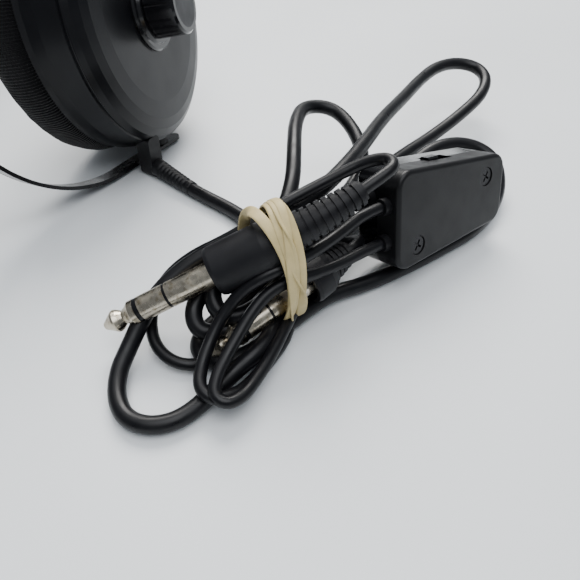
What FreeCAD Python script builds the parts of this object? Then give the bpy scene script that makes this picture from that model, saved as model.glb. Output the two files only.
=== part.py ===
"""Wired stereo headphones lying on their side, with the cord tied in a hank.

Millimetres.  +X is the right ear's outward side, +Y runs from the headband to the chin, +Z is up.
The origin is on the table, in the mirror plane of the two cups, under the middle of the headphones.
Both cups are built once in a frame of their own and placed by mirroring:
  h = outward along the ear axis, b = towards the chin, z = along the tilt pins of the yoke.
"""
import FreeCAD, Part
import math
import os

from FreeCAD import Placement, Rotation, Vector

# ---- driving dimensions ---------------------------------------------------------------------
CUP_X = 70.0             # cup centre to the mirror plane
CUP_Y = 59.0             # cup centre from the origin, towards the chin
CUP_Z = 46.5             # cup centre above the table
LEAN_DEG = 12.0          # both cups and yokes lean back, outer faces up
TOE_DEG = 20.0           # each cup is turned about its tilt pins, towards the chin

RIM_R = 42.5             # cup rim
WALL = 2.2               # cup wall
CUSHION_R = 43.4
CUSHION_HOLE_R = 20.0

YOKE_R = 45.6            # inside of the steel yoke's bend
YOKE_T = 1.2
YOKE_W = 6.0
YOKE_ARM = 22.0          # straight arm between the tilt pin and the bend
YOKE_TAIL = 9.0          # rounded tail beyond the tilt pin

STEM_R = 2.2
STEM_RUN_FIT = 0.08
BLOCK_LEN = 24.0
BLOCK_START = 80.0       # from the cup centre towards the headband
BAND_T = 1.0             # headband spring strip
BAND_W = 14.0
BAND_X = 76.0            # straight ends of the strip, from the mirror plane
BAND_SIDE_R = 46.0
BAND_SIDE_TURN_DEG = 60.0

KNOB_R = 9.2
KNOB_FLUTES = 24
BEZEL_R = 12.8

CORD_R = 2.2
THIN_R = 1.55
PLUG_R = 3.175           # quarter-inch plug
PLUG_LEN = 31.5

CLEAR = 0.3              # air between bodies that move past each other

os.makedirs("parts", exist_ok=True)
ORIGIN = Vector(0, 0, 0)
X = Vector(1, 0, 0)
Y = Vector(0, 1, 0)
Z = Vector(0, 0, 1)


# ---- helpers --------------------------------------------------------------------------------
def save(shape, name):
    shape.exportStep("parts/" + name + ".step")


def cyl(radius, start, direction, length):
    return Part.makeCylinder(radius, length, start, direction)


def ring(outer, inner, start, direction, length):
    return cyl(outer, start, direction, length).cut(cyl(inner, start, direction, length))


def turned(profile, axis=X):
    """Solid of revolution about the axis, from (distance along it, radius) points."""
    side = Y if axis is X else X
    points = [axis * along + side * radius for along, radius in profile]
    wire = Part.makePolygon(points + [points[0]])
    return Part.Face(wire).revolve(ORIGIN, axis, 360)


def block(x0, x1, y0, y1, z0, z1):
    return Part.makeBox(x1 - x0, y1 - y0, z1 - z0, Vector(x0, y0, z0))


def rounded_block(x0, x1, y0, y1, z0, z1, radius, axis):
    """Box with the four edges along one axis rounded."""
    shape = block(x0, x1, y0, y1, z0, z1)
    edges = [e for e in shape.Edges if e.tangentAt(e.FirstParameter).cross(axis).Length < 1e-6]
    return shape.makeFillet(radius, edges)


def aimed(shape, start, direction, roll_deg=0.0):
    """Move a solid built along +X from the origin onto a start point and direction."""
    aim = Rotation(X, direction)
    shape = shape.copy()
    shape.rotate(ORIGIN, X, roll_deg)
    shape.Placement = Placement(start, aim).multiply(shape.Placement)
    return shape


def in_yoke_frame(shape):
    """Yoke frame: leaned about the stem, centred on the cup."""
    shape = shape.copy()
    shape.Placement = Placement(ORIGIN, Rotation(Y, -LEAN_DEG)).multiply(shape.Placement)
    shape.Placement = Placement(Vector(CUP_X, CUP_Y, CUP_Z), Rotation()).multiply(shape.Placement)
    return shape


def in_cup_frame(shape):
    """Cup frame: the yoke frame turned about the tilt pins."""
    shape = shape.copy()
    shape.Placement = Placement(ORIGIN, Rotation(Z, TOE_DEG)).multiply(shape.Placement)
    return in_yoke_frame(shape)


def in_band_frame(shape):
    """Headband frame: level, centred on the cup."""
    shape = shape.copy()
    shape.translate(Vector(CUP_X, CUP_Y, CUP_Z))
    return shape


def save_pair(shape, name):
    """The right-hand piece and its mirror image."""
    save(shape, "right_" + name)
    save(shape.mirror(ORIGIN, X), "left_" + name)


def tube(points, radius, name):
    """Cord: straight runs joined by tangent arcs."""
    pieces = []
    radii = []
    start = points[0]
    for before, corner, after in zip(points, points[1:], points[2:]):
        run_in = corner - before
        run_out = after - corner
        shorter = min(run_in.Length, run_out.Length)
        run_in.normalize()
        run_out.normalize()
        turn = run_in.getAngle(run_out)
        trim = 0.45 * shorter
        bend = trim / math.tan(turn / 2)
        radii.append(bend)
        arc_start = corner - run_in * trim
        arc_end = corner + run_out * trim
        inward = (run_out - run_in).normalize()
        arc_mid = corner + inward * (bend / math.cos(turn / 2) - bend)
        pieces.append(Part.LineSegment(start, arc_start).toShape())
        pieces.append(Part.Arc(arc_start, arc_mid, arc_end).toShape())
        start = arc_end
    pieces.append(Part.LineSegment(start, points[-1]).toShape())
    path = Part.Wire(pieces)
    direction = points[1] - points[0]
    section = Part.Wire(Part.makeCircle(radius, points[0], direction))
    solid = path.makePipeShell([section], True, True)
    expected = math.pi * radius ** 2 * path.Length
    print(name, "length", round(path.Length), "volume ratio", round(solid.Volume / expected, 3),
          "smallest bend", round(min(radii), 1), "in cord diameters", round(min(radii) / (2 * radius), 1))
    return solid


# ---- ear cups -------------------------------------------------------------------------------
DOME_H = 12.0            # flat crown of the dome
dome = [(-3.7, 0), (-3.7, RIM_R), (0, RIM_R - 0.2), (6.6, RIM_R - 1.2), (6.9, RIM_R - 1.8),
        (7.3, RIM_R - 1.8), (7.6, RIM_R - 1.5), (9.4, RIM_R - 2.8), (10.8, RIM_R - 5.2),
        (11.6, RIM_R - 8.5), (DOME_H, RIM_R - 14), (DOME_H, 0)]
hollow = [(-4, 0), (-4, RIM_R - WALL), (6.0, RIM_R - WALL - 1.6), (8.4, RIM_R - 6.5),
          (DOME_H - WALL, RIM_R - 14), (DOME_H - WALL, 0)]
dome_outer = turned(dome)
shell = dome_outer.cut(turned(hollow))
shell = shell.cut(cyl(3.6, Vector(0, 0, 0), X, 20))
PIN_R = 1.6
for end in (1, -1):
    shell = shell.fuse(cyl(3.6, Vector(0, 0, end * (RIM_R - 7.5)), Z * end, 6.3))
    shell = shell.cut(cyl(PIN_R, Vector(0, 0, end * 30), Z * end, 20))
SEAM_PIP = block(2.0, 4.6, -0.4, 0.4, 0, 0.5)
for turn in (68, 248):
    pip = SEAM_PIP.copy()
    pip.translate(Vector(0, 0, RIM_R - 1.2))
    pip.rotate(ORIGIN, X, turn)
    shell = shell.fuse(pip)
shell = shell.removeSplitter()
shell_placed = in_cup_frame(shell)
save_pair(shell_placed, "cup_shell")

baffle_inner = 22.6
baffle = ring(RIM_R - 0.4, baffle_inner, Vector(-6.2, 0, 0), X, 2.5)
screw_circle = 30.0
screw_places = [Vector(-6.2, screw_circle * math.cos(a), screw_circle * math.sin(a))
                for a in [math.radians(45 + 90 * k) for k in range(4)]]
for place in screw_places:
    baffle = baffle.cut(cyl(1.3, place, X, 2.5))
save_pair(in_cup_frame(baffle), "baffle_plate")

baffle_screws = []
for place in screw_places:
    head = cyl(2.4, place + X * 2.5, X, 1.4)
    shank = cyl(1.25, place, X, 2.5)
    baffle_screws.append(head.fuse(shank))
save_pair(in_cup_frame(Part.makeCompound(baffle_screws)), "baffle_screws")

cushion = turned([(-6.2, CUSHION_HOLE_R + 4), (-6.2, RIM_R - 1.5), (-8.5, CUSHION_R - 0.4),
                  (-13.0, CUSHION_R), (-19.0, CUSHION_R - 0.8), (-23.5, CUSHION_R - 4),
                  (-26.0, CUSHION_R - 10), (-26.0, CUSHION_HOLE_R + 6), (-23.0, CUSHION_HOLE_R + 1.5),
                  (-19.0, CUSHION_HOLE_R), (-10.0, CUSHION_HOLE_R)])
save_pair(in_cup_frame(cushion), "ear_cushion")

driver_frame = ring(22.6, 18.0, Vector(-6.2, 0, 0), X, 3.0).fuse(ring(22.6, 12.0, Vector(-3.2, 0, 0), X, 1.6))
save_pair(in_cup_frame(driver_frame), "driver_frame")
magnet = cyl(11.9, Vector(-3.2, 0, 0), X, 4.2)
save_pair(in_cup_frame(magnet), "driver_magnet")
foam = cyl(CUSHION_HOLE_R - 0.4, Vector(-8.8, 0, 0), X, 1.8)
save_pair(in_cup_frame(foam), "driver_foam")

# Volume control: body and bushing inside the dome, bezel and knob outside it.
pot_body = cyl(8.0, Vector(3.2, 0, 0), X, 6.6)
bushing = cyl(3.5, Vector(9.8, 0, 0), X, 4.2)
shaft_bore = cyl(1.6 + STEM_RUN_FIT, Vector(5.0, 0, 0), X, 20)
save_pair(in_cup_frame(pot_body.fuse(bushing).cut(shaft_bore)), "volume_control")

BEZEL_STEPS = [(DOME_H, 3.6), (DOME_H, BEZEL_R), (DOME_H + 0.8, BEZEL_R), (DOME_H + 1.4, BEZEL_R - 0.6),
               (DOME_H + 1.4, BEZEL_R - 1.8), (DOME_H + 2.3, BEZEL_R - 2.4), (DOME_H + 2.3, 3.6)]
save_pair(in_cup_frame(turned(BEZEL_STEPS)), "dial_bezel")

KNOB_BACK = DOME_H + 2.3 + CLEAR
KNOB_FRONT = DOME_H + 12.4
knob = turned([(KNOB_BACK, 0), (KNOB_BACK, KNOB_R), (KNOB_FRONT - 0.7, KNOB_R - 0.3),
               (KNOB_FRONT, KNOB_R - 1.0), (KNOB_FRONT, 0)])
for k in range(KNOB_FLUTES):
    if k % 6 != 0:
        flute = cyl(0.55, Vector(KNOB_BACK - 1, 0, KNOB_R + 0.15), X, KNOB_FRONT - KNOB_BACK - 1.0)
        flute.rotate(ORIGIN, X, k * 360.0 / KNOB_FLUTES)
        knob = knob.cut(flute)
knob = knob.cut(cyl(6.9, Vector(KNOB_FRONT - 0.5, 0, 0), X, 1))
knob = knob.cut(cyl(4.0, Vector(0, 0, 0), X, KNOB_BACK + 1.2))
knob = knob.fuse(cyl(1.6, Vector(6.0, 0, 0), X, KNOB_BACK - 4))
knob = knob.cut(block(KNOB_BACK - 1, KNOB_BACK + 4, -0.4, 0.4, KNOB_R - 1.0, KNOB_R + 1))
save_pair(in_cup_frame(knob), "volume_knob")
knob_cap = cyl(6.9, Vector(KNOB_FRONT - 0.5, 0, 0), X, 0.5)
save_pair(in_cup_frame(knob_cap), "knob_cap")

# ---- yokes ----------------------------------------------------------------------------------
yoke_outer_r = YOKE_R + YOKE_T
half = YOKE_W / 2


def yoke_outline(radius):
    """Closed solid of the yoke's outline at one radius: arms, then the bend."""
    arms = block(-half, half, -YOKE_ARM, YOKE_TAIL, -radius, radius)
    bend = cyl(radius, Vector(-half, -YOKE_ARM, 0), X, YOKE_W)
    bend = bend.common(block(-half, half, -YOKE_ARM - radius, -YOKE_ARM, -radius, radius))
    return arms.fuse(bend)


yoke = yoke_outline(yoke_outer_r).cut(yoke_outline(YOKE_R).fuse(block(-half, half, 0, 20, -YOKE_R, YOKE_R)))
tail_round = cyl(half, Vector(0, YOKE_TAIL - half, -60), Z, 120)
tail_zone = block(-half, half, YOKE_TAIL - half, YOKE_TAIL, -60, 60)
yoke = yoke.cut(tail_zone.cut(tail_round))
crown_y = -YOKE_ARM - YOKE_R
for end in (1, -1):
    yoke = yoke.cut(cyl(2.1, Vector(0, 0, end * 40), Z * end, 12))
boss_end = crown_y - YOKE_T - 5.0
yoke = yoke.fuse(cyl(5.0, Vector(0, crown_y - 0.5, 0), -Y, crown_y - 0.5 - boss_end))
yoke = yoke.cut(cyl(STEM_R + STEM_RUN_FIT, Vector(0, crown_y + 2, 0), -Y, 12))
yoke = yoke.removeSplitter()
save_pair(in_yoke_frame(yoke), "yoke")

# Tilt pins: shouldered rivets that stay with the cup. The upper one has a thin head, and the
# lower one ends flush, because the strip stands on the table there.
rivets = []
for end in (1, -1):
    out = Z * end
    pin = cyl(PIN_R, Vector(0, 0, end * (RIM_R - 6)), out, 6 + YOKE_R - RIM_R - 0.3)
    shoulder = cyl(2.0, Vector(0, 0, end * (YOKE_R - 0.3)), out, YOKE_T + 0.6)
    head = cyl(2.9, Vector(0, 0, end * (yoke_outer_r + 0.3)), out, 0.5)
    pin = pin.fuse(shoulder)
    if end > 0:
        pin = pin.fuse(head)
    rivets.append(pin)
    rivets[-1] = rivets[-1].fuse(ring(3.0, 1.0, Vector(0, 0, end * RIM_R), out, YOKE_R - RIM_R - CLEAR))
save_pair(in_cup_frame(Part.makeCompound(rivets)), "tilt_rivets")

# ---- stems and headband ---------------------------------------------------------------------
stem_end = BLOCK_START + BLOCK_LEN + 12
stem = cyl(STEM_R, Vector(0, crown_y + 0.6, 0), -Y, stem_end + crown_y + 0.6)
stem = stem.fuse(cyl(4.0, Vector(0, crown_y + 2.2, 0), -Y, 1.6))
stem = stem.fuse(cyl(3.4, Vector(0, boss_end - CLEAR, 0), -Y, 1.6))
stem = stem.fuse(cyl(STEM_R + 0.4, Vector(0, -stem_end + 2, 0), -Y, 2.0))
save_pair(in_band_frame(stem), "stem")

block_shape = rounded_block(-5.0, 5.5, -BLOCK_START - BLOCK_LEN, -BLOCK_START, -8.0, 8.0, 2.5, Y)
block_shape = block_shape.cut(cyl(STEM_R + STEM_RUN_FIT, Vector(0, -BLOCK_START + 1, 0), -Y, BLOCK_LEN + 2))
save_pair(in_band_frame(block_shape), "slide_block")

band_offset = BAND_X - CUP_X
screw_rows = [-BLOCK_START - 6, -BLOCK_START - BLOCK_LEN + 6]
band_screws = []
for row in screw_rows:
    head = cyl(2.4, Vector(band_offset + BAND_T / 2, row, 0), X, 1.1)
    shank = cyl(1.2, Vector(band_offset - BAND_T / 2, row, 0), X, BAND_T + 0.5)
    band_screws.append(head.fuse(shank))
right_screws = in_band_frame(Part.makeCompound(band_screws))
left_screws = right_screws.mirror(ORIGIN, X)
save(Part.makeCompound(right_screws.Solids + left_screws.Solids), "band_screws")


def band_solid(inside, outside, width, cover_only):
    """Bent strip between two offsets from the strip's middle line, as wide as given along Z."""
    side_turn = math.radians(BAND_SIDE_TURN_DEG)
    bend_y = CUP_Y - BLOCK_START - BLOCK_LEN
    side_x = BAND_X - BAND_SIDE_R
    top_r = BAND_SIDE_R + side_x / math.cos(side_turn)
    top_y = bend_y + side_x * math.tan(side_turn)
    edges = []
    for offset, order in ((outside, 1), (inside, -1)):
        radius = BAND_SIDE_R + offset
        top = top_r + offset
        end_y = bend_y if cover_only else bend_y + BLOCK_LEN
        start_turn = math.radians(32) if cover_only else 0.0
        first = Vector(side_x + radius * math.cos(start_turn), bend_y - radius * math.sin(start_turn), 0)
        middle_turn = (start_turn + side_turn) / 2
        middle = Vector(side_x + radius * math.cos(middle_turn), bend_y - radius * math.sin(middle_turn), 0)
        last = Vector(side_x + radius * math.cos(side_turn), bend_y - radius * math.sin(side_turn), 0)
        crown = Vector(0, top_y - top, 0)
        flip = lambda p: Vector(-p.x, p.y, 0)
        line = []
        if not cover_only:
            line.append(Part.LineSegment(Vector(first.x, end_y, 0), first).toShape())
        line.append(Part.Arc(first, middle, last).toShape())
        line.append(Part.Arc(last, crown, flip(last)).toShape())
        line.append(Part.Arc(flip(last), flip(middle), flip(first)).toShape())
        if not cover_only:
            line.append(Part.LineSegment(flip(first), Vector(-first.x, end_y, 0)).toShape())
        edges.append(line)
    starts = [line[0].Vertexes[0].Point for line in edges]
    ends = [line[-1].Vertexes[-1].Point for line in edges]
    closing = [Part.LineSegment(starts[0], starts[1]).toShape(), Part.LineSegment(ends[0], ends[1]).toShape()]
    wire = Part.Wire(Part.__sortEdges__(edges[0] + edges[1] + closing))
    solid = Part.Face(wire).extrude(Z * width)
    solid.translate(Vector(0, 0, CUP_Z - width / 2))
    return solid


strip = band_solid(-BAND_T / 2, BAND_T / 2, BAND_W, False)
for sign in (1, -1):
    for row in screw_rows:
        strip = strip.cut(cyl(1.2, Vector(sign * 70, CUP_Y + row, CUP_Z), X * sign, 20))
save(strip, "headband_strip")
cover = band_solid(-7.0, 2.2, 30.0, True)
cover = cover.cut(band_solid(-BAND_T / 2, BAND_T / 2, BAND_W, False))
cover = cover.removeSplitter()
save(cover, "headband_pad")

# ---- cord outlet under the right cup --------------------------------------------------------
OUTLET = Vector(92.0, 44.5, 2.6)
foot = rounded_block(86.0, 92.0, 41.9, 47.1, 0.3, 15.0, 1.5, X)
foot = foot.cut(in_cup_frame(dome_outer))
foot = max(foot.Solids, key=lambda solid: solid.Volume)
save(foot, "cord_outlet")

# ---- junction box ---------------------------------------------------------------------------
# Box frame: x from the wide end to the narrow end, y from the front face into the box, z up its face.
BOX_LEN = 45.0
BOX_THICK = 15.5
BOX_SEAM = 7.6
BOX_WALL = 1.6
box_outline = [(0, 0), (BOX_LEN, 5.0), (BOX_LEN, 25.0), (0, 28.0)]
box_turn = Rotation(Z, 70).multiply(Rotation(Y, 8.6)).multiply(Rotation(X, -17))
box_place = Placement(Vector(188.0, 34.0, 8.0), box_turn)


def in_box_frame(shape):
    shape = shape.copy()
    shape.Placement = box_place.multiply(shape.Placement)
    return shape


def box_prism(inset, y0, y1):
    """Box outline moved inwards and extruded between two depths."""
    points = [Vector(x, y0, z) for x, z in box_outline]
    outline = Part.makePolygon(points + [points[0]])
    if inset:
        outline = outline.makeOffset2D(-inset)
    return Part.Face(outline).extrude(Y * (y1 - y0))


box = box_prism(0, 0, BOX_THICK)
corners = [e for e in box.Edges if e.tangentAt(e.FirstParameter).cross(Y).Length < 1e-6]
box = box.makeFillet(4.5, corners)
faces_y = (0, BOX_THICK)
rims = [e for e in box.Edges if any(abs(e.BoundBox.YMin - y) < 1e-6 and abs(e.BoundBox.YMax - y) < 1e-6
                                    for y in faces_y)]
box = box.makeFillet(1.2, rims)
cavity = box_prism(BOX_WALL, BOX_WALL, BOX_THICK - BOX_WALL)
switch_slot = block(17.5, 27.5, 5.4, 9.8, 20, 32)
exits = [(11.0, 19.5, CORD_R, 3.2), (4.4, 18.5, THIN_R, 2.3), (4.4, 8.5, THIN_R, 2.3)]
box = box.cut(cavity).cut(switch_slot)
for depth, height, radius, bush in exits:
    box = box.cut(cyl(bush - 0.8, Vector(-1, depth, height), X, 4))
screw_spots = [(8.0, 6.5), (36.5, 19.5)]
posts = []
for x, z in screw_spots:
    posts.append(cyl(2.9, Vector(x, BOX_WALL, z), Y, BOX_SEAM - BOX_WALL))
front = box.common(block(-5, 60, -1, BOX_SEAM, -5, 40))
for post in posts:
    front = front.fuse(post)
for x, z in screw_spots:
    front = front.cut(cyl(2.7, Vector(x, -1, z), Y, 2.2))
    front = front.cut(cyl(1.3, Vector(x, -1, z), Y, 20))
rear = box.common(block(-5, 60, BOX_SEAM, 20, -5, 40))
for x, z in screw_spots:
    rear = rear.fuse(cyl(2.9, Vector(x, BOX_SEAM, z), Y, BOX_THICK - BOX_SEAM - 1))
    rear = rear.cut(cyl(1.3, Vector(x, BOX_SEAM, z), Y, 5))
save(in_box_frame(front.removeSplitter()), "box_front_shell")
save(in_box_frame(rear.removeSplitter()), "box_rear_shell")

box_screws = []
for x, z in screw_spots:
    head = cyl(2.5, Vector(x, 0.3, z), Y, 0.9)
    for angle in (30, 120):
        cross = block(-1.6, 1.6, -1, 0.5, -0.3, 0.3)
        cross.rotate(ORIGIN, Y, angle)
        cross.translate(Vector(x, 0.3, z))
        head = head.cut(cross)
    box_screws.append(head.fuse(cyl(1.25, Vector(x, 1.0, z), Y, 10)))
save(in_box_frame(Part.makeCompound(box_screws)), "box_screws")

board = block(13, 41, 12.0, 13.4, 8.5, 22)
for x, z in screw_spots:
    board = board.cut(cyl(3.2, Vector(x, 0, z), Y, 30))
save(in_box_frame(board), "box_circuit_board")
switch_case = block(15.5, 29.5, 4.6, 10.6, 17.0, 22.3)
save(in_box_frame(switch_case), "switch_case")
button = rounded_block(18.2, 22.2, 6.1, 9.1, 22.6, 27.4, 0.6, X)
save(in_box_frame(button), "switch_button")

bushings = []
for depth, height, radius, bush in exits:
    sleeve = cyl(bush, Vector(-2.2, depth, height), X, 2.2)
    sleeve = sleeve.fuse(cyl(bush - 0.8, Vector(-1, depth, height), X, 3.4))
    bushings.append(sleeve)
save(in_box_frame(Part.makeCompound(bushings).cut(box)), "box_cord_bushings")
for depth, height, radius, bush in exits:
    print("box exit", box_place.multVec(Vector(-2.2, depth, height)))
print("box exit direction", box_turn.multVec(-X))

# ---- quarter-inch plugs ---------------------------------------------------------------------
TIP_END = 9.4
RING_START = 10.6
RING_END = 17.6
SLEEVE_START = 18.3
CORE_R = 1.4
plug_tip = turned([(0, 0), (0.3, 0.9), (3.0, 2.75), (3.6, 2.9), (4.4, 2.6), (5.6, 1.75), (6.8, 2.3),
                   (8.0, PLUG_R), (TIP_END, PLUG_R), (TIP_END, 0)])
plug_ring = ring(PLUG_R, CORE_R, Vector(RING_START, 0, 0), X, RING_END - RING_START)
plug_sleeve = ring(PLUG_R, CORE_R, Vector(SLEEVE_START, 0, 0), X, PLUG_LEN + 4 - SLEEVE_START)
insulator = cyl(PLUG_R - 0.1, Vector(TIP_END, 0, 0), X, RING_START - TIP_END)
insulator = insulator.fuse(cyl(CORE_R, Vector(RING_START, 0, 0), X, PLUG_LEN + 2 - RING_START))
insulator = insulator.fuse(cyl(PLUG_R - 0.1, Vector(RING_END, 0, 0), X, SLEEVE_START - RING_END))


def plug_body(length):
    lip = PLUG_LEN - 1.0
    body = turned([(lip, 0), (lip, 6.0), (PLUG_LEN, 6.3), (PLUG_LEN + length * 0.7, 6.2),
                   (PLUG_LEN + length, 5.3), (PLUG_LEN + length, 0)])
    recess = ring(4.9, 0.1, Vector(lip, 0, 0), X, 1.6)
    return body.cut(recess).cut(cyl(PLUG_R, Vector(lip, 0, 0), X, 5.0))


def relief(start, first, last, length, ribs, wide_r, thin_r):
    """Ribbed strain relief bending from one direction to another."""
    pitch = length / ribs
    place = start
    shape = None
    for k in range(ribs):
        share = (k + 0.5) / ribs
        direction = (first * (1 - share) + last * share).normalize()
        radius = wide_r + (thin_r - wide_r) * share
        core = cyl(radius - 0.7, place - direction * 0.15, direction, pitch + 0.3)
        rib = cyl(radius, place, direction, pitch * 0.62)
        shape = core.fuse(rib) if shape is None else shape.fuse(core).fuse(rib)
        place = place + direction * pitch
    return shape, place


plugs = []
shared = {"tips": [], "rings": [], "sleeves": [], "insulators": []}
plug_specs = [("front", Vector(136, -22, 8.2), Vector(32, 34, 20), Vector(9.5, 17.5, 8.3), 18.0, 21.0, 11),
              ("rear", Vector(161, -13, 5.0), Vector(0.31, 0.93, 0.20), Vector(0.31, 0.93, 0.20), 6.0, 8.0, 5)]
for name, tip_at, direction, relief_end, body_length, relief_length, ribs in plug_specs:
    direction.normalize()
    relief_end.normalize()
    for piece, shape in zip(shared, (plug_tip, plug_ring, plug_sleeve, insulator)):
        placed = aimed(shape, tip_at, direction)
        shared[piece].append(placed)
        plugs.append(placed)
    body = aimed(plug_body(body_length), tip_at, direction)
    save(body, name + "_plug_body")
    boot_start = tip_at + direction * (PLUG_LEN + body_length)
    boot, boot_end = relief(boot_start, direction, relief_end, relief_length, ribs, 4.9, 3.2)
    boot = boot.cut(body)
    save(boot, name + "_plug_strain_relief")
    plugs.extend([body, boot])
    print(name, "relief ends at", boot_end, "along", relief_end)
for piece, pair in shared.items():
    save(Part.makeCompound(pair), "plug_" + piece)
all_plugs = Part.makeCompound(plugs)

# ---- cord hank and its rubber band ----------------------------------------------------------
neck_start = Vector(160.0, 2.0, 14.5)
neck_dir = Vector(0.46, 0.885, 0.06).normalize()
NECK_LEN = 25.0
neck = rounded_block(0, NECK_LEN, -7.5, 7.5, -11.5, 9.5, 5.0, X)
neck = aimed(neck, neck_start, neck_dir)


def slab(outline, z0, z1):
    points = [Vector(x, y, z0) for x, y in outline]
    return Part.Face(Part.makePolygon(points + [points[0]])).extrude(Z * (z1 - z0))


front_low = slab([(141, -8), (143, -26), (151, -35), (160, -37), (167, -31), (172, -16), (172, 0),
                  (166, 4), (150, 4)], 0.3, 7.0)
front_high = slab([(140, -8), (142, -14), (150, -12), (168, -12), (173, 0), (166, 5), (150, 5)], 7.0, 17.0)
front_hank = front_low.fuse(front_high).cut(neck)
neck = neck.cut(all_plugs)
neck = max(neck.Solids, key=lambda solid: solid.Volume)
front_hank = front_hank.cut(all_plugs)
front_hank = max(front_hank.Solids, key=lambda solid: solid.Volume)
save(neck, "hank_neck")
save(front_hank, "hank_front_coil")

band_long = 17.6
band_wide = 10.6
BAND_CENTRE = Vector(165.0, 11.0, 18.0)


def ellipse_prism(a, b, length):
    """Elliptical prism along +X, a up and b across."""
    curve = Part.Ellipse(ORIGIN, a, b)
    face = Part.Face(Part.Wire(curve.toShape()))
    face.rotate(ORIGIN, Y, 90)
    return face.extrude(X * length)


rubber = ellipse_prism(band_long, band_wide, 8.0).cut(ellipse_prism(band_long - 1.6, band_wide - 1.6, 8.0))
rubber.translate(Vector(-4, 0, 0))
rubber = aimed(rubber, BAND_CENTRE, neck_dir)
rubber = rubber.cut(neck).cut(all_plugs)
rubber = max(rubber.Solids, key=lambda solid: solid.Volume)
save(rubber, "rubber_band")


# ---- cord routes ----------------------------------------------------------------------------
# Each is a list of corners; the tube rounds every one of them.
LEAD = [(92, 44.5, 2.6), (103, 42.5, 2.6), (115, 40.5, 2.6), (127, 39.5, 2.6), (139, 36, 3.6), (149, 27, 6.5),
        (157, 17, 10), (163, 10, 12)]
LOOP_TALL = [(162, 8, 21), (162, 24, 25), (163, 41, 25.5), (160.5, 62, 24), (156.5, 84, 22.5), (154, 106, 20),
             (152, 127, 18.5), (155, 143, 17), (162, 151, 14.5), (169, 144, 12), (170, 127, 10), (167, 107, 9),
             (163, 87, 9), (161, 68, 9), (163, 49, 9), (166, 33, 9.5), (168, 18, 10)]
LOOP_SHORT = [(165, 8, 17), (160, 22, 20), (154, 35, 24), (146, 48, 26.5), (138, 61, 26.5), (133, 74, 25),
              (140, 82, 23), (152, 76, 20), (161, 65, 17), (163, 51, 15.5), (164, 38, 15), (167, 24, 15),
              (169, 12, 15)]
LOOP_UNDER_BOX = [(171.4, 11, 8.6), (174.5, 22, 4.5), (180, 32, 2.5), (186, 44, 2.4), (191.5, 58, 2.3), (196.5, 71, 2.4),
                  (198, 83, 3), (196.5, 95, 5), (191, 104.5, 8.5), (182.5, 104, 12), (174.5, 95.5, 14), (170, 84, 12),
                  (168.5, 70, 5.5), (164.5, 56, 2.8), (164, 41, 2.6), (166.6, 28, 3.5), (169.6, 16, 6.1)]
BOX_THICK_CORD = [(172.8, 39.67, 23.59), (170.6, 33.6, 24.4), (168.5, 27, 22), (166, 19, 18)]
BOX_THIN_UPPER = [(179.06, 37.55, 24.55), (177.0, 31.8, 25.3), (174.8, 23, 23.5), (172.0, 15, 21)]
BOX_THIN_LOWER = [(181.32, 35.2, 15.1), (179.2, 29.3, 15.7), (176.2, 21.5, 14.0), (173, 14, 12.5)]
FRONT_PLUG_CORD = [(178.48, 26.75, 35.9), (180.4, 30.3, 37.4), (177.5, 34.5, 36.3), (171.5, 33.5, 33.5),
                   (166.5, 28.5, 30.5), (164.0, 21, 26)]
REAR_PLUG_CORD = [(175.1, 29.3, 14.1), (176.4, 33.2, 14.9), (173.9, 37.2, 10.8), (171.8, 31, 8), (171.6, 25, 8)]
NODES = {
    "cord_lead": (CORD_R, [LEAD]),
    "cord_loop_tall": (CORD_R, [LOOP_TALL]),
    "cord_loop_short": (CORD_R, [LOOP_SHORT]),
    "cord_loop_under_box": (CORD_R, [LOOP_UNDER_BOX]),
    "box_cord_thick": (CORD_R, [BOX_THICK_CORD]),
    "box_cords_thin": (THIN_R, [BOX_THIN_UPPER, BOX_THIN_LOWER]),
    "front_plug_cord": (THIN_R, [FRONT_PLUG_CORD]),
    "rear_plug_cord": (THIN_R, [REAR_PLUG_CORD]),
}
for name, (radius, routes) in NODES.items():
    solids = []
    for corners in routes:
        solid = tube([Vector(*corner) for corner in corners], radius, name)
        for blocker in (neck, rubber, all_plugs):
            solid = solid.cut(blocker)
        solids.append(max(solid.Solids, key=lambda piece: piece.Volume))
    save(Part.makeCompound(solids), name)
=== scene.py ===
import math

import bmesh
import bpy
from mathutils import Matrix, Vector, noise


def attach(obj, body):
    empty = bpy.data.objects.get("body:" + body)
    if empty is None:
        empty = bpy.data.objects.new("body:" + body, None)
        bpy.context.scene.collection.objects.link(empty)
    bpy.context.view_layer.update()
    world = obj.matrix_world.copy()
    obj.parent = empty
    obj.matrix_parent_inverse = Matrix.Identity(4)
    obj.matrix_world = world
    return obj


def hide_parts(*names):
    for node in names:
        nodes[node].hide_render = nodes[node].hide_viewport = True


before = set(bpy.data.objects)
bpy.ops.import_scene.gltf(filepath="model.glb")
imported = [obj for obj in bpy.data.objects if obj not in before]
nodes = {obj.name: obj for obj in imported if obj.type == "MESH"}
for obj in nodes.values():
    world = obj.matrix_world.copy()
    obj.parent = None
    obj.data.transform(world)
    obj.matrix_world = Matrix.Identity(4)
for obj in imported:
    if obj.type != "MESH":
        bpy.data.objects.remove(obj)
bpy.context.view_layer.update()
MM = 0.001
scene = bpy.context.scene


def link(obj):
    scene.collection.objects.link(obj)
    return obj


def mm(points):
    return [tuple(c * MM for c in p) for p in points]


# ---------------------------------------------------------------- camera

camera_data = bpy.data.cameras.new("camera")
camera_data.lens = 36
camera_data.sensor_width = 36
camera_data.clip_start = 0.005
camera = link(bpy.data.objects.new("camera", camera_data))
camera.location = (0.2262, -0.0777, 0.1132)
aim = Vector((0.1623, 0.0207, 0)) - camera.location
camera.rotation_euler = aim.to_track_quat("-Z", "Y").to_euler()
scene.camera = camera

# ---------------------------------------------------------------- cords

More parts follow.
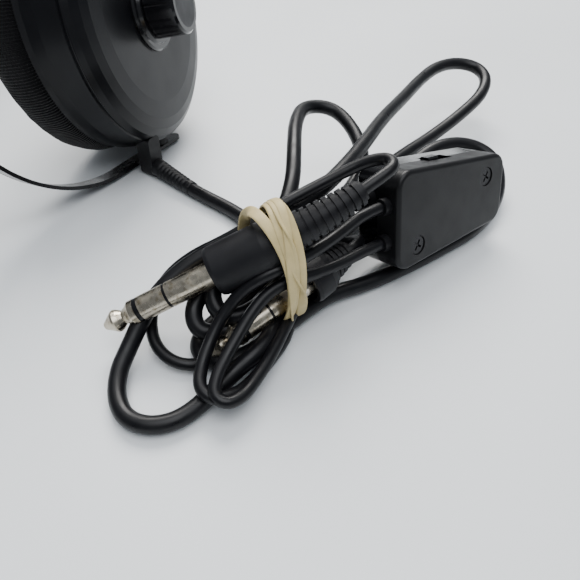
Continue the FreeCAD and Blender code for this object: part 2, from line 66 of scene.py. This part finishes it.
# Sizes and places are in millimetres in the part's own frame.  The visible loops follow the
# photograph, and the folds between them, inside and under the bundle, are guessed.

THICK = 4.4
THIN = 3.1
OUTLET = (92, 44.5, 2.6)

LEAD = [OUTLET, (103, 42.5, 2.6), (115, 40.5, 2.6), (127, 39.5, 2.6), (139, 36, 3.6),
        (149, 27, 6.5), (156, 19, 7.5), (159, 12, 6)]
FOLD_LOW = [(156, 4, 4), (153.5, -4, 2.6), (154.5, -10.5, 2.5), (159.5, -13.5, 2.5),
            (165, -11, 2.5), (168.3, -4, 2.5), (169.5, 4, 2.6), (171.5, 12, 3.4)]
LOOP_UNDER_BOX = [(174, 22, 3.6), (180, 32, 2.5), (186, 44, 2.4), (191.5, 58, 2.3), (196.5, 71, 2.4),
                  (198, 83, 3), (196.5, 95, 5), (191, 104.5, 8.5), (182.5, 104, 12), (174.5, 95.5, 14),
                  (170, 84, 12), (168.5, 70, 5.5), (164.5, 56, 2.8), (164, 41, 2.6),
                  (166.6, 28, 3.2), (165, 19, 2.8)]
LOOP_FRONT = [(166, 10, 3.2), (169.5, 3, 5.5), (171, -5, 6), (169, -13, 4.5), (167.5, -21, 3),
              (166.7, -26.5, 2.5), (164.8, -31.5, 2.5), (160.5, -35.3, 2.5), (155, -36.2, 2.5),
              (149.5, -33.2, 2.7), (145.3, -28, 3.6), (143.5, -22, 5.5), (142.5, -15, 9.5),
              (143, -8, 14), (147, 1, 18.5), (154, 10, 22)]
LOOP_TALL = [(160.5, 18, 24.5), (162, 28, 25.5), (163, 41, 25.5), (160.5, 62, 24),
             (156.5, 84, 22.5), (154, 106, 20), (152, 127, 19), (153.3, 139, 19.6),
             (157.5, 148.5, 18.8), (164.5, 152.3, 17.5), (170.8, 148, 16), (173, 138, 13.8),
             (171, 125, 11.5), (167, 107, 9), (163, 87, 9), (161, 68, 9),
             (163, 49, 9), (165, 33, 9.5), (164.5, 20, 9.5)]
FOLD_MIDDLE = [(163, 10, 8.5), (162.5, 1, 6.6), (160.3, -6.5, 6.4), (156, -10.5, 7.6),
               (152, -8, 10.8), (151.3, -0.5, 14), (154.8, 8.5, 17.5)]
LOOP_SHORT = [(158.5, 20, 20), (154, 35, 24), (146, 48, 26.5), (138, 61, 26.5), (133, 74, 25),
              (140, 82, 23), (152, 76, 20), (161, 65, 17), (163, 51, 15.5), (164, 38, 15),
              (166, 25, 15)]
FOLD_TOP = [(166.3, 13, 13), (165.3, 4, 10.5), (162.3, -3.5, 9.8), (157.3, -5.8, 12),
            (153.8, -1, 16.5), (156, 8, 20)]
BOX_THICK = [(163.5, 19, 20.5), (168.5, 27, 22), (170.6, 33.6, 24.4), (172.8, 39.67, 23.59)]

MAIN_ROUTE = (LEAD + FOLD_LOW + LOOP_UNDER_BOX + LOOP_FRONT + LOOP_TALL + FOLD_MIDDLE
              + LOOP_SHORT + FOLD_TOP + BOX_THICK)

# From the junction box to the front plug, and from the box to the rear plug.
PLUG_A_ROUTE = [(179.06, 37.55, 24.55), (177, 31.8, 25.3), (174.8, 23, 23.5), (172.3, 14, 22.5),
                (170.5, 7.5, 23), (166.5, 2, 21.5), (163, -2, 18), (161.2, -7, 13.5),
                (161.5, -13, 9.5), (163.3, -18.5, 7.5), (166, -22.8, 6.6), (169.8, -23.5, 5.8),
                (172.7, -19.5, 4.5), (173.2, -13, 2.6), (173, -5, 2.2), (172.3, 4, 2.2),
                (168.5, 12, 2.2), (162.5, 13.5, 2.2), (158.3, 8, 2.2), (157.8, 0, 2.2),
                (159.8, -8, 2.1), (160, -14.8, 2.1), (154.8, -18.4, 2.8), (148.5, -18, 4),
                (143.5, -14.5, 5.5), (140.5, -9.5, 8.5), (141, -4, 13.5), (145, 2, 18), (151, 8, 21.5),
                (156.5, 14, 25.5), (160, 20, 28.5), (163, 25.5, 30), (168, 32.5, 32.8),
                (173.2, 38, 36), (178.6, 39.4, 38.3), (182.2, 36, 39), (181, 31.5, 38),
                (178.48, 26.75, 35.9)]
PLUG_B_ROUTE = [(181.32, 35.2, 15.1), (179.2, 29.3, 15.7), (176.2, 21.5, 15.5), (173.5, 13, 17),
                (171, 6.5, 19), (168, 2, 17), (167, -3, 14.5), (167, -9, 11.5),
                (167.5, -14.5, 9.5), (168.6, -19.5, 8.3), (170.6, -23.2, 7.4), (174, -23, 6.6),
                (175.6, -18.8, 5.9), (175, -12.5, 5.5), (174, -5, 6), (172.3, 3, 6.5), (170.5, 11, 6.5),
                (168, 20, 6.5), (166.8, 29.5, 6.8), (168, 36, 8.3), (172.8, 37.2, 11.5),
                (176.8, 34.2, 14.8), (175.1, 29.3, 14.1)]


def spline_curve(name, points, radius=0.0):
    curve = bpy.data.curves.new(name, "CURVE")
    curve.dimensions = "3D"
    curve.resolution_u = 12
    curve.bevel_depth = radius
    curve.bevel_resolution = 6
    curve.use_fill_caps = True
    spline = curve.splines.new("NURBS")
    spline.points.add(len(points) - 1)
    for point, place in zip(spline.points, points):
        point.co = (*place, 1)
    spline.order_u = 3
    spline.use_endpoint_u = True
    return link(bpy.data.objects.new(name, curve))


def centre_line(name, points):
    """The smooth line that a route's spline follows, as a list of points."""
    helper = spline_curve(name, points)
    mesh = bpy.data.meshes.new_from_object(helper)
    line = [v.co.copy() for v in mesh.vertices]
    bpy.data.objects.remove(helper)
    bpy.data.meshes.remove(mesh)
    return line


main_line = centre_line("main_line", mm(MAIN_ROUTE))
plug_a_line = centre_line("plug_a_line", mm(PLUG_A_ROUTE))
plug_b_line = centre_line("plug_b_line", mm(PLUG_B_ROUTE))

main_cord = spline_curve("main_cord", mm(MAIN_ROUTE), THICK / 2 * MM)
plug_cord_a = spline_curve("plug_cord_a", mm(PLUG_A_ROUTE), THIN / 2 * MM)
plug_cord_b = spline_curve("plug_cord_b", mm(PLUG_B_ROUTE), THIN / 2 * MM)


# ---------------------------------------------------------------- materials

def material(slot, colour, rough, metal=0.0, rough_range=0.1, shade=0.3, grain=900, bump=0.1,
             depth=0.0001, coat=0.0, sheen=0.0, specular=0.26, patch=120, wear=None):
    """A surface with uneven colour and roughness, and a fine relief, sized in metres."""
    mat = bpy.data.materials.new("look_" + slot)
    mat.use_nodes = True
    tree = mat.node_tree
    shader = tree.nodes["Principled BSDF"]
    place = tree.nodes.new("ShaderNodeTexCoord")

    def noise_at(scale, detail):
        node = tree.nodes.new("ShaderNodeTexNoise")
        node.inputs["Scale"].default_value = scale
        node.inputs["Detail"].default_value = detail
        tree.links.new(place.outputs["Object"], node.inputs["Vector"])
        return node

    patches = noise_at(patch, 4)
    ramp = tree.nodes.new("ShaderNodeValToRGB")
    ramp.color_ramp.elements[0].position = 0.3
    ramp.color_ramp.elements[1].position = 0.72
    ramp.color_ramp.elements[0].color = (*[c * (1 - shade) for c in colour], 1)
    ramp.color_ramp.elements[1].color = (*[min(1, c * (1 + shade)) for c in colour], 1)
    tree.links.new(patches.outputs["Fac"], ramp.inputs["Fac"])
    colour_out = ramp.outputs["Color"]
    if wear:
        stain = noise_at(patch * 3.1, 6)
        stain_ramp = tree.nodes.new("ShaderNodeValToRGB")
        stain_ramp.color_ramp.elements[0].position = 0.52
        stain_ramp.color_ramp.elements[1].position = 0.7
        tree.links.new(stain.outputs["Fac"], stain_ramp.inputs["Fac"])
        mix = tree.nodes.new("ShaderNodeMix")
        mix.data_type = "RGBA"
        mix.inputs["B"].default_value = (*wear, 1)
        tree.links.new(stain_ramp.outputs["Color"], mix.inputs["Factor"])
        tree.links.new(colour_out, mix.inputs["A"])
        colour_out = mix.outputs["Result"]
    tree.links.new(colour_out, shader.inputs["Base Color"])

    smears = noise_at(patch * 1.7, 5)
    spread = tree.nodes.new("ShaderNodeMapRange")
    spread.inputs["From Min"].default_value = 0.3
    spread.inputs["From Max"].default_value = 0.7
    spread.inputs["To Min"].default_value = max(0.03, rough - rough_range)
    spread.inputs["To Max"].default_value = min(1, rough + rough_range)
    tree.links.new(smears.outputs["Fac"], spread.inputs["Value"])
    tree.links.new(spread.outputs["Result"], shader.inputs["Roughness"])

    fine = noise_at(grain, 3)
    relief = tree.nodes.new("ShaderNodeBump")
    relief.inputs["Strength"].default_value = bump
    relief.inputs["Distance"].default_value = depth
    tree.links.new(fine.outputs["Fac"], relief.inputs["Height"])
    tree.links.new(relief.outputs["Normal"], shader.inputs["Normal"])

    shader.inputs["Metallic"].default_value = metal
    shader.inputs["Specular IOR Level"].default_value = specular
    shader.inputs["Coat Weight"].default_value = coat
    shader.inputs["Coat Roughness"].default_value = 0.12
    shader.inputs["Sheen Weight"].default_value = sheen
    shader.inputs["Sheen Roughness"].default_value = 0.5
    return mat


BLACK = (0.0032, 0.0034, 0.0046)
looks = {
    "cup_black": material("cup_black", BLACK, 0.33, rough_range=0.05, grain=2600, bump=0.12, specular=0.2,
                          depth=0.00004, patch=60, coat=0.06),
    "baffle_black": material("baffle_black", BLACK, 0.6, bump=0.3),
    "screw_steel": material("screw_steel", (0.36, 0.36, 0.37), 0.35, metal=1.0),
    "cushion_knit": material("cushion_knit", (0.0028, 0.0028, 0.0034), 0.92, rough_range=0.05,
                             grain=2400, bump=0.7, depth=0.0004, sheen=0.12, specular=0.1),
    "driver_grey": material("driver_grey", (0.18, 0.18, 0.19), 0.45, bump=0.2),
    "magnet_steel": material("magnet_steel", (0.42, 0.42, 0.43), 0.4, metal=1.0, bump=0.15),
    "foam_black": material("foam_black", (0.014, 0.014, 0.015), 0.95, grain=1500, bump=1.0,
                           depth=0.0008, specular=0.1),
    "control_metal": material("control_metal", (0.5, 0.48, 0.42), 0.4, metal=1.0),
    "knob_black": material("knob_black", (0.004, 0.004, 0.005), 0.2, rough_range=0.06,
                           coat=0.4, bump=0.06, grain=2000, depth=0.00003),
    "knob_cap_grey": material("knob_cap_grey", (0.03, 0.031, 0.034), 0.46, rough_range=0.08,
                              grain=3200, bump=0.25, depth=0.00004),
    "yoke_black": material("yoke_black", (0.005, 0.005, 0.006), 0.3, rough_range=0.08,
                           coat=0.3, grain=1500, bump=0.12, depth=0.00004),
    "rivet_black": material("rivet_black", BLACK, 0.35, bump=0.1),
    "stem_chrome": material("stem_chrome", (0.62, 0.62, 0.63), 0.14, metal=1.0,
                            rough_range=0.05, shade=0.08, bump=0.04),
    "block_black": material("block_black", BLACK, 0.42, bump=0.2, depth=0.00006),
    "strip_steel": material("strip_steel", (0.5, 0.5, 0.51), 0.28, metal=1.0, shade=0.1),
    "pad_vinyl": material("pad_vinyl", (0.006, 0.006, 0.007), 0.42, rough_range=0.1,
                          grain=1300, bump=0.55, depth=0.00025, sheen=0.05),
    "cord_rubber": material("cord_rubber", (0.005, 0.005, 0.006), 0.45, rough_range=0.1,
                            patch=200, bump=0.15, depth=0.00005),
    "box_black": material("box_black", (0.0048, 0.0048, 0.0056), 0.4, rough_range=0.06,
                          grain=3600, bump=0.3, depth=0.00005),
    "box_screw_black": material("box_screw_black", (0.02, 0.02, 0.022), 0.28, metal=0.6),
    "board_green": material("board_green", (0.02, 0.12, 0.04), 0.4),
    "plug_nickel": material("plug_nickel", (0.52, 0.47, 0.38), 0.27, metal=1.0,
                            rough_range=0.14, shade=0.16, patch=220, bump=0.25, grain=1400,
                            depth=0.00004, wear=(0.3, 0.25, 0.17)),
    "insulator_black": material("insulator_black", BLACK, 0.3, bump=0.05),
    "plug_black": material("plug_black", (0.005, 0.005, 0.0065), 0.46, rough_range=0.08,
                           grain=2800, bump=0.2, depth=0.00005),
    "cord_pvc": material("cord_pvc", (0.0042, 0.0043, 0.0055), 0.36, rough_range=0.09,
                         patch=160, grain=900, bump=0.1, depth=0.00005, shade=0.2),
    "band_cream": material("band_cream", (0.56, 0.455, 0.225), 0.5, rough_range=0.1, shade=0.12,
                           patch=260, grain=1500, bump=0.3, depth=0.0001, sheen=0.05),
}
for node in nodes.values():
    for holder in node.material_slots:
        holder.material = looks[holder.material.name.split(".")[0]]

# The half of the box that carries the switch is polished, and the other half is textured.
polished = material("box_polished", (0.0032, 0.0032, 0.004), 0.16, rough_range=0.05, coat=0.35,
                    grain=1800, bump=0.05, depth=0.00003)
nodes["box_rear_shell"].material_slots[0].material = polished


def dress(obj, slot, body):
    obj.data.materials.clear()
    obj.data.materials.append(looks[slot])
    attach(obj, body)


def mesh_object(name, verts, faces):
    mesh = bpy.data.meshes.new(name)
    mesh.from_pydata(verts, [], faces)
    built = bmesh.new()
    built.from_mesh(mesh)
    bmesh.ops.recalc_face_normals(built, faces=built.faces)
    built.to_mesh(mesh)
    built.free()
    for face in mesh.polygons:
        face.use_smooth = True
    return link(bpy.data.objects.new(name, mesh))


def swept(name, sections, closed):
    """A skin through equal rings of points, joined end to end or capped."""
    count = len(sections[0])
    verts = [p for ring in sections for p in ring]
    faces = []
    steps = len(sections) if closed else len(sections) - 1
    for i in range(steps):
        j = (i + 1) % len(sections)
        for k in range(count):
            n = (k + 1) % count
            faces.append((i * count + k, i * count + n, j * count + n, j * count + k))
    if not closed:
        faces.append(tuple(range(count)))
        faces.append(tuple(range(len(verts) - count, len(verts))))
    return mesh_object(name, verts, faces)


# ---------------------------------------------------------------- rubber band

BAND_CENTRE = Vector((165, 11, 18)) * MM
BAND_AXIS = Vector((0.46, 0.885, 0.06)).normalized()
BAND_SIDE = Vector((0.887, -0.461, 0)).normalized()
BAND_UP = BAND_SIDE.cross(BAND_AXIS).normalized()
BAND_HALF_WIDTH = 10.0
BAND_HALF_HEIGHT = 16.9
ELASTIC_HALF_THICK = 0.36
WRAP_STEPS = 150


def wrap(name, along, tilt, phase, outward, width, twist_at):
    """One turn of the flat elastic round the bundle, leaning and turning over once."""
    rings = []
    wide = (BAND_HALF_WIDTH + outward) * MM
    high = (BAND_HALF_HEIGHT + outward) * MM
    for i in range(WRAP_STEPS):
        t = 2 * math.pi * i / WRAP_STEPS
        lean = (along + tilt * math.cos(t + phase) + 0.35 * math.sin(3 * t + phase)) * MM
        centre = (BAND_CENTRE + BAND_SIDE * wide * math.cos(t) + BAND_UP * high * math.sin(t)
                  + BAND_AXIS * lean)
        out = (BAND_SIDE * math.cos(t) / wide + BAND_UP * math.sin(t) / high).normalized()
        gap = (t - twist_at + math.pi) % (2 * math.pi) - math.pi
        roll = math.pi / (1 + math.exp(-gap * 5)) if abs(gap) < 3 else (0 if gap < 0 else math.pi)
        across = BAND_AXIS * math.cos(roll) + out * math.sin(roll)
        thick = out * math.cos(roll) - BAND_AXIS * math.sin(roll)
        ring = []
        for a in range(12):
            s = 2 * math.pi * a / 12
            u = math.copysign(abs(math.cos(s)) ** 0.5, math.cos(s)) * width / 2 * MM
            v = math.copysign(abs(math.sin(s)) ** 0.7, math.sin(s)) * ELASTIC_HALF_THICK * MM
            ring.append(centre + across * u + thick * v)
        rings.append(ring)
    return swept(name, rings, closed=True)


wraps = [
    wrap("band_wrap_1", -2.9, 1.5, 0.4, 0.1, 2.9, 2.2),
    wrap("band_wrap_2", -0.7, -1.9, 1.1, 0.6, 2.5, 0.9),
    wrap("band_wrap_3", 1.3, 2.1, 2.2, 0.3, 2.8, 0.1),
    wrap("band_wrap_4", 2.7, -1.5, 0.2, 0.0, 2.1, 1.6),
    wrap("band_wrap_5", 0.4, 2.4, 3.6, 0.8, 2.2, 5.6),
]
for piece in wraps:
    dress(piece, "band_cream", "right_cup")
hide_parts("rubber_band")

# ---------------------------------------------------------------- cord outlet sleeve

SLEEVE_RUN = (18, -3.1, 0)
SLEEVE_RADIUS = 3.1
SLEEVE_TAPER = 0.72
SLEEVE_GROOVE = 0.22
SLEEVE_RINGS = 44
UPWARD = Vector((0, 0, 1))

sleeve_side = Vector(SLEEVE_RUN).normalized().cross(UPWARD)
sleeve_rings = []
for i in range(SLEEVE_RINGS):
    share = i / (SLEEVE_RINGS - 1)
    place = Vector((OUTLET[0] + SLEEVE_RUN[0] * share, OUTLET[1] + SLEEVE_RUN[1] * share,
                    OUTLET[2])) * MM
    groove = SLEEVE_GROOVE if 6 < i < 38 and i % 4 < 2 else 0
    radius = (SLEEVE_RADIUS - SLEEVE_TAPER * share - groove) * MM
    rise = Vector((0, 0, radius - 2.3 * MM))
    sleeve_rings.append([place + rise + (sleeve_side * math.cos(a * math.pi / 12)
                         + UPWARD * math.sin(a * math.pi / 12)) * radius
                         for a in range(24)])
sleeve = swept("outlet_sleeve", sleeve_rings, closed=False)
dress(sleeve, "cord_rubber", "right_cup")

# ---------------------------------------------------------------- ear cushions

CUP_PLACE = (Matrix.Translation(Vector((70, 59, 46.5)) * MM)
             @ Matrix.Rotation(math.radians(-12), 4, "Y") @ Matrix.Rotation(math.radians(20), 4, "Z"))
MIRROR = Matrix.Scale(-1, 4, Vector((1, 0, 0)))
CUSHION = [(-6.5, 24.5), (-6.5, 33), (-6.5, 40.4), (-8.8, 42.2), (-13, 42.8), (-17, 42.5),
           (-20.5, 41.2), (-23.2, 38.6), (-25, 35.2), (-25.6, 31), (-25, 27), (-22.8, 23.4),
           (-19, 21.2), (-14, 20.7), (-9.5, 21.3)]
SEAM_RADIUS = 39.5
SEAM_DEPTH = 0.9
LUMP = 0.35
RIBS = 290


def inflated(obj, voxel, pressure, cap):
    """Cloth, blown up a little from inside, then kept as plain mesh.

    It moves each point by about 0.3 mm at most, well below the cap.
    """
    remesh = obj.modifiers.new("even", "REMESH")
    remesh.mode = "VOXEL"
    remesh.voxel_size = voxel
    keep_modifiers(obj)
    rest = [v.co.copy() for v in obj.data.vertices]
    cloth = obj.modifiers.new("cloth", "CLOTH")
    cloth.settings.use_pressure = True
    cloth.settings.uniform_pressure_force = pressure
    cloth.settings.effector_weights.gravity = 0
    cloth.settings.quality = 6
    cloth.point_cache.frame_start = 1
    cloth.point_cache.frame_end = 16
    for step in range(1, 17):
        scene.frame_set(step)
    keep_modifiers(obj)
    for vertex, before in zip(obj.data.vertices, rest):
        move = vertex.co - before
        if move.length > cap:
            vertex.co = before + move.normalized() * cap
    scene.frame_set(1)
    finer = obj.modifiers.new("finer", "SUBSURF")
    finer.levels = 1
    keep_modifiers(obj)
    for face in obj.data.polygons:
        face.use_smooth = True
    return obj


def keep_modifiers(obj):
    """The modifiers' result becomes the object's own mesh."""
    bpy.context.view_layer.update()
    seen = obj.evaluated_get(bpy.context.evaluated_depsgraph_get())
    mesh = bpy.data.meshes.new_from_object(seen)
    obj.modifiers.clear()
    obj.data = mesh


def knit(obj):
    """A soft seam round the ear side, and slight lumps; the ribs are in the material."""
    for vertex in obj.data.vertices:
        h, b, z = vertex.co
        angle = math.atan2(z, b)
        radius = math.hypot(b, z)
        lumps = noise.noise(Vector((h, b, z)) * 110) * LUMP * MM
        seam = 0
        if h < -20 * MM:
            seam = -SEAM_DEPTH * MM * math.exp(-((radius - SEAM_RADIUS * MM) / (1.1 * MM)) ** 2)
        move = lumps + seam
        grow = 1 + move / max(radius, 0.001)
        vertex.co = (h, b * grow, z * grow)


cushion_rings = []
for i in range(128):
    a = 2 * math.pi * i / 128
    cushion_rings.append([Vector((h, r * math.cos(a), r * math.sin(a))) * MM for h, r in CUSHION])
cushion = swept("right_cushion_cover", cushion_rings, closed=True)
inflated(cushion, 0.0028, 3.0, 0.0012)
knit(cushion)
left_cushion = link(bpy.data.objects.new("left_cushion_cover", cushion.data.copy()))
cushion.data.transform(CUP_PLACE)
left_cushion.data.transform(MIRROR @ CUP_PLACE)
left_cushion.data.flip_normals()


def rib_material():
    """The knit's ribs run from the cup to the ear all round the ring."""
    mat = looks["cushion_knit"]
    tree = mat.node_tree
    shader = tree.nodes["Principled BSDF"]
    kept = tree.nodes["Bump"]
    angle = tree.nodes.new("ShaderNodeAttribute")
    angle.attribute_name = "rib_angle"
    wave = tree.nodes.new("ShaderNodeMath")
    wave.operation = "SINE"
    tree.links.new(angle.outputs["Fac"], wave.inputs[0])
    ribs = tree.nodes.new("ShaderNodeBump")
    ribs.inputs["Strength"].default_value = 0.6
    ribs.inputs["Distance"].default_value = 0.00035
    tree.links.new(wave.outputs["Value"], ribs.inputs["Height"])
    tree.links.new(kept.outputs["Normal"], ribs.inputs["Normal"])
    tree.links.new(ribs.outputs["Normal"], shader.inputs["Normal"])


def rib_angles(obj, place):
    """How far round the ring each corner of the mesh is, times the number of ribs."""
    back = place.inverted()
    attribute = obj.data.attributes.new("rib_angle", "FLOAT", "CORNER")
    for face in obj.data.polygons:
        spots = [back @ obj.data.vertices[obj.data.loops[k].vertex_index].co
                 for k in face.loop_indices]
        angles = [math.atan2(s.z, s.y) for s in spots]
        if max(angles) - min(angles) > math.pi:
            angles = [a + 2 * math.pi if a < 0 else a for a in angles]
        for k, a in zip(face.loop_indices, angles):
            attribute.data[k].value = a * RIBS


rib_material()
rib_angles(cushion, CUP_PLACE)
rib_angles(left_cushion, MIRROR @ CUP_PLACE)
dress(cushion, "cushion_knit", "right_cup")
dress(left_cushion, "cushion_knit", "left_cup")
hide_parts("right_ear_cushion")
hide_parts("left_ear_cushion")

# ---------------------------------------------------------------- headband pad

TOP_RADIUS = 106
TOP_ANGLE = math.radians(30)
SIDE_RADIUS = 46
SIDE_ANGLE = math.radians(28)
BAND_MIDDLE_HEIGHT = 46.5


def band_place(s):
    """A point of the band's middle line and the way out of the arc, s from -1 to 1."""
    half = SIDE_RADIUS * SIDE_ANGLE + TOP_RADIUS * TOP_ANGLE
    run = abs(s) * half
    if run <= TOP_RADIUS * TOP_ANGLE:
        angle = run / TOP_RADIUS
        place = Vector((TOP_RADIUS * math.sin(angle), 6.96 - TOP_RADIUS * math.cos(angle), 0))
        out = Vector((math.sin(angle), -math.cos(angle), 0))
    else:
        angle = TOP_ANGLE + (run - TOP_RADIUS * TOP_ANGLE) / SIDE_RADIUS
        out = Vector((math.sin(angle), -math.cos(angle), 0))
        place = Vector((30, -45, 0)) + out * SIDE_RADIUS
    if s < 0:
        place.x = -place.x
        out.x = -out.x
    return place, out


PAD_STEPS = 132
PLEATS = 7
pad_rings = []
for i in range(PAD_STEPS + 1):
    s = -1 + 2 * i / PAD_STEPS
    place, out = band_place(s * 0.995)
    end = min(1, (1 - abs(s)) * 14) ** 0.5
    puff = abs(math.sin(s * math.pi * PLEATS)) ** 0.45
    inner = (-3.2 - 3.2 * puff) * (0.55 + 0.45 * end)
    outer = 1.5 + 0.5 * end
    half_width = 14.4 * (0.9 + 0.1 * end) - 0.4 * (1 - puff)
    ring = []
    for a in range(32):
        t = 2 * math.pi * a / 32
        c = math.cos(t)
        d = math.sin(t)
        across = math.copysign(abs(c) ** 0.7, c) * half_width
        depth = (outer if d > 0 else -inner) * math.copysign(abs(d) ** 0.75, d)
        ring.append((place + out * depth + Vector((0, 0, BAND_MIDDLE_HEIGHT + across))) * MM)
    pad_rings.append(ring)
pad = swept("headband_cushion", pad_rings, closed=False)
inflated(pad, 0.0026, 1.5, 0.0005)
dress(pad, "pad_vinyl", "headband")
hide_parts("headband_pad")

# ---------------------------------------------------------------- cords as declared pieces

dress(main_cord, "cord_pvc", "right_cup")
dress(plug_cord_a, "cord_pvc", "right_cup")
dress(plug_cord_b, "cord_pvc", "right_cup")
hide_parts("cord_lead", "cord_loop_tall", "cord_loop_short", "cord_loop_under_box",
            "box_cord_thick", "hank_neck", "hank_front_coil")
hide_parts("front_plug_cord", "box_cords_thin")
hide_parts("rear_plug_cord")

# ---------------------------------------------------------------- floor and light

floor_mesh = bpy.data.meshes.new("floor")
grid = bmesh.new()
bmesh.ops.create_grid(grid, x_segments=24, y_segments=24, size=12)
grid.to_mesh(floor_mesh)
grid.free()
floor = link(bpy.data.objects.new("floor", floor_mesh))
floor.data.materials.append(material("floor", (0.78, 0.805, 0.82), 0.42, shade=0.02, patch=9,
                                     rough_range=0.05, bump=0.05, specular=0.35))

world = bpy.data.worlds.new("studio")
world.use_nodes = True
world.node_tree.nodes["Background"].inputs["Color"].default_value = (0.86, 0.92, 1, 1)
world.node_tree.nodes["Background"].inputs["Strength"].default_value = 0.3
scene.world = world


def lamp(name, place, target, size, power, colour):
    data = bpy.data.lights.new(name, "AREA")
    data.shape = "DISK"
    data.size = size
    data.energy = power
    data.color = colour
    obj = link(bpy.data.objects.new(name, data))
    obj.location = place
    obj.rotation_euler = (Vector(target) - Vector(place)).to_track_quat("-Z", "Y").to_euler()


lamp("window", (-0.35, 0.75, 0.9), (0.12, 0.05, 0), 0.8, 20, (1, 0.98, 0.95))
lamp("ceiling", (0.5, -0.2, 1.2), (0.12, 0.05, 0), 1.2, 12, (0.95, 0.97, 1))
sky_data = bpy.data.lights.new("sky", "SUN")
sky_data.energy = 1.3
sky_data.angle = math.radians(75)
sky_data.color = (0.96, 0.98, 1)
sky = link(bpy.data.objects.new("sky", sky_data))
sky.rotation_euler = (math.radians(-18), math.radians(-12), 0)
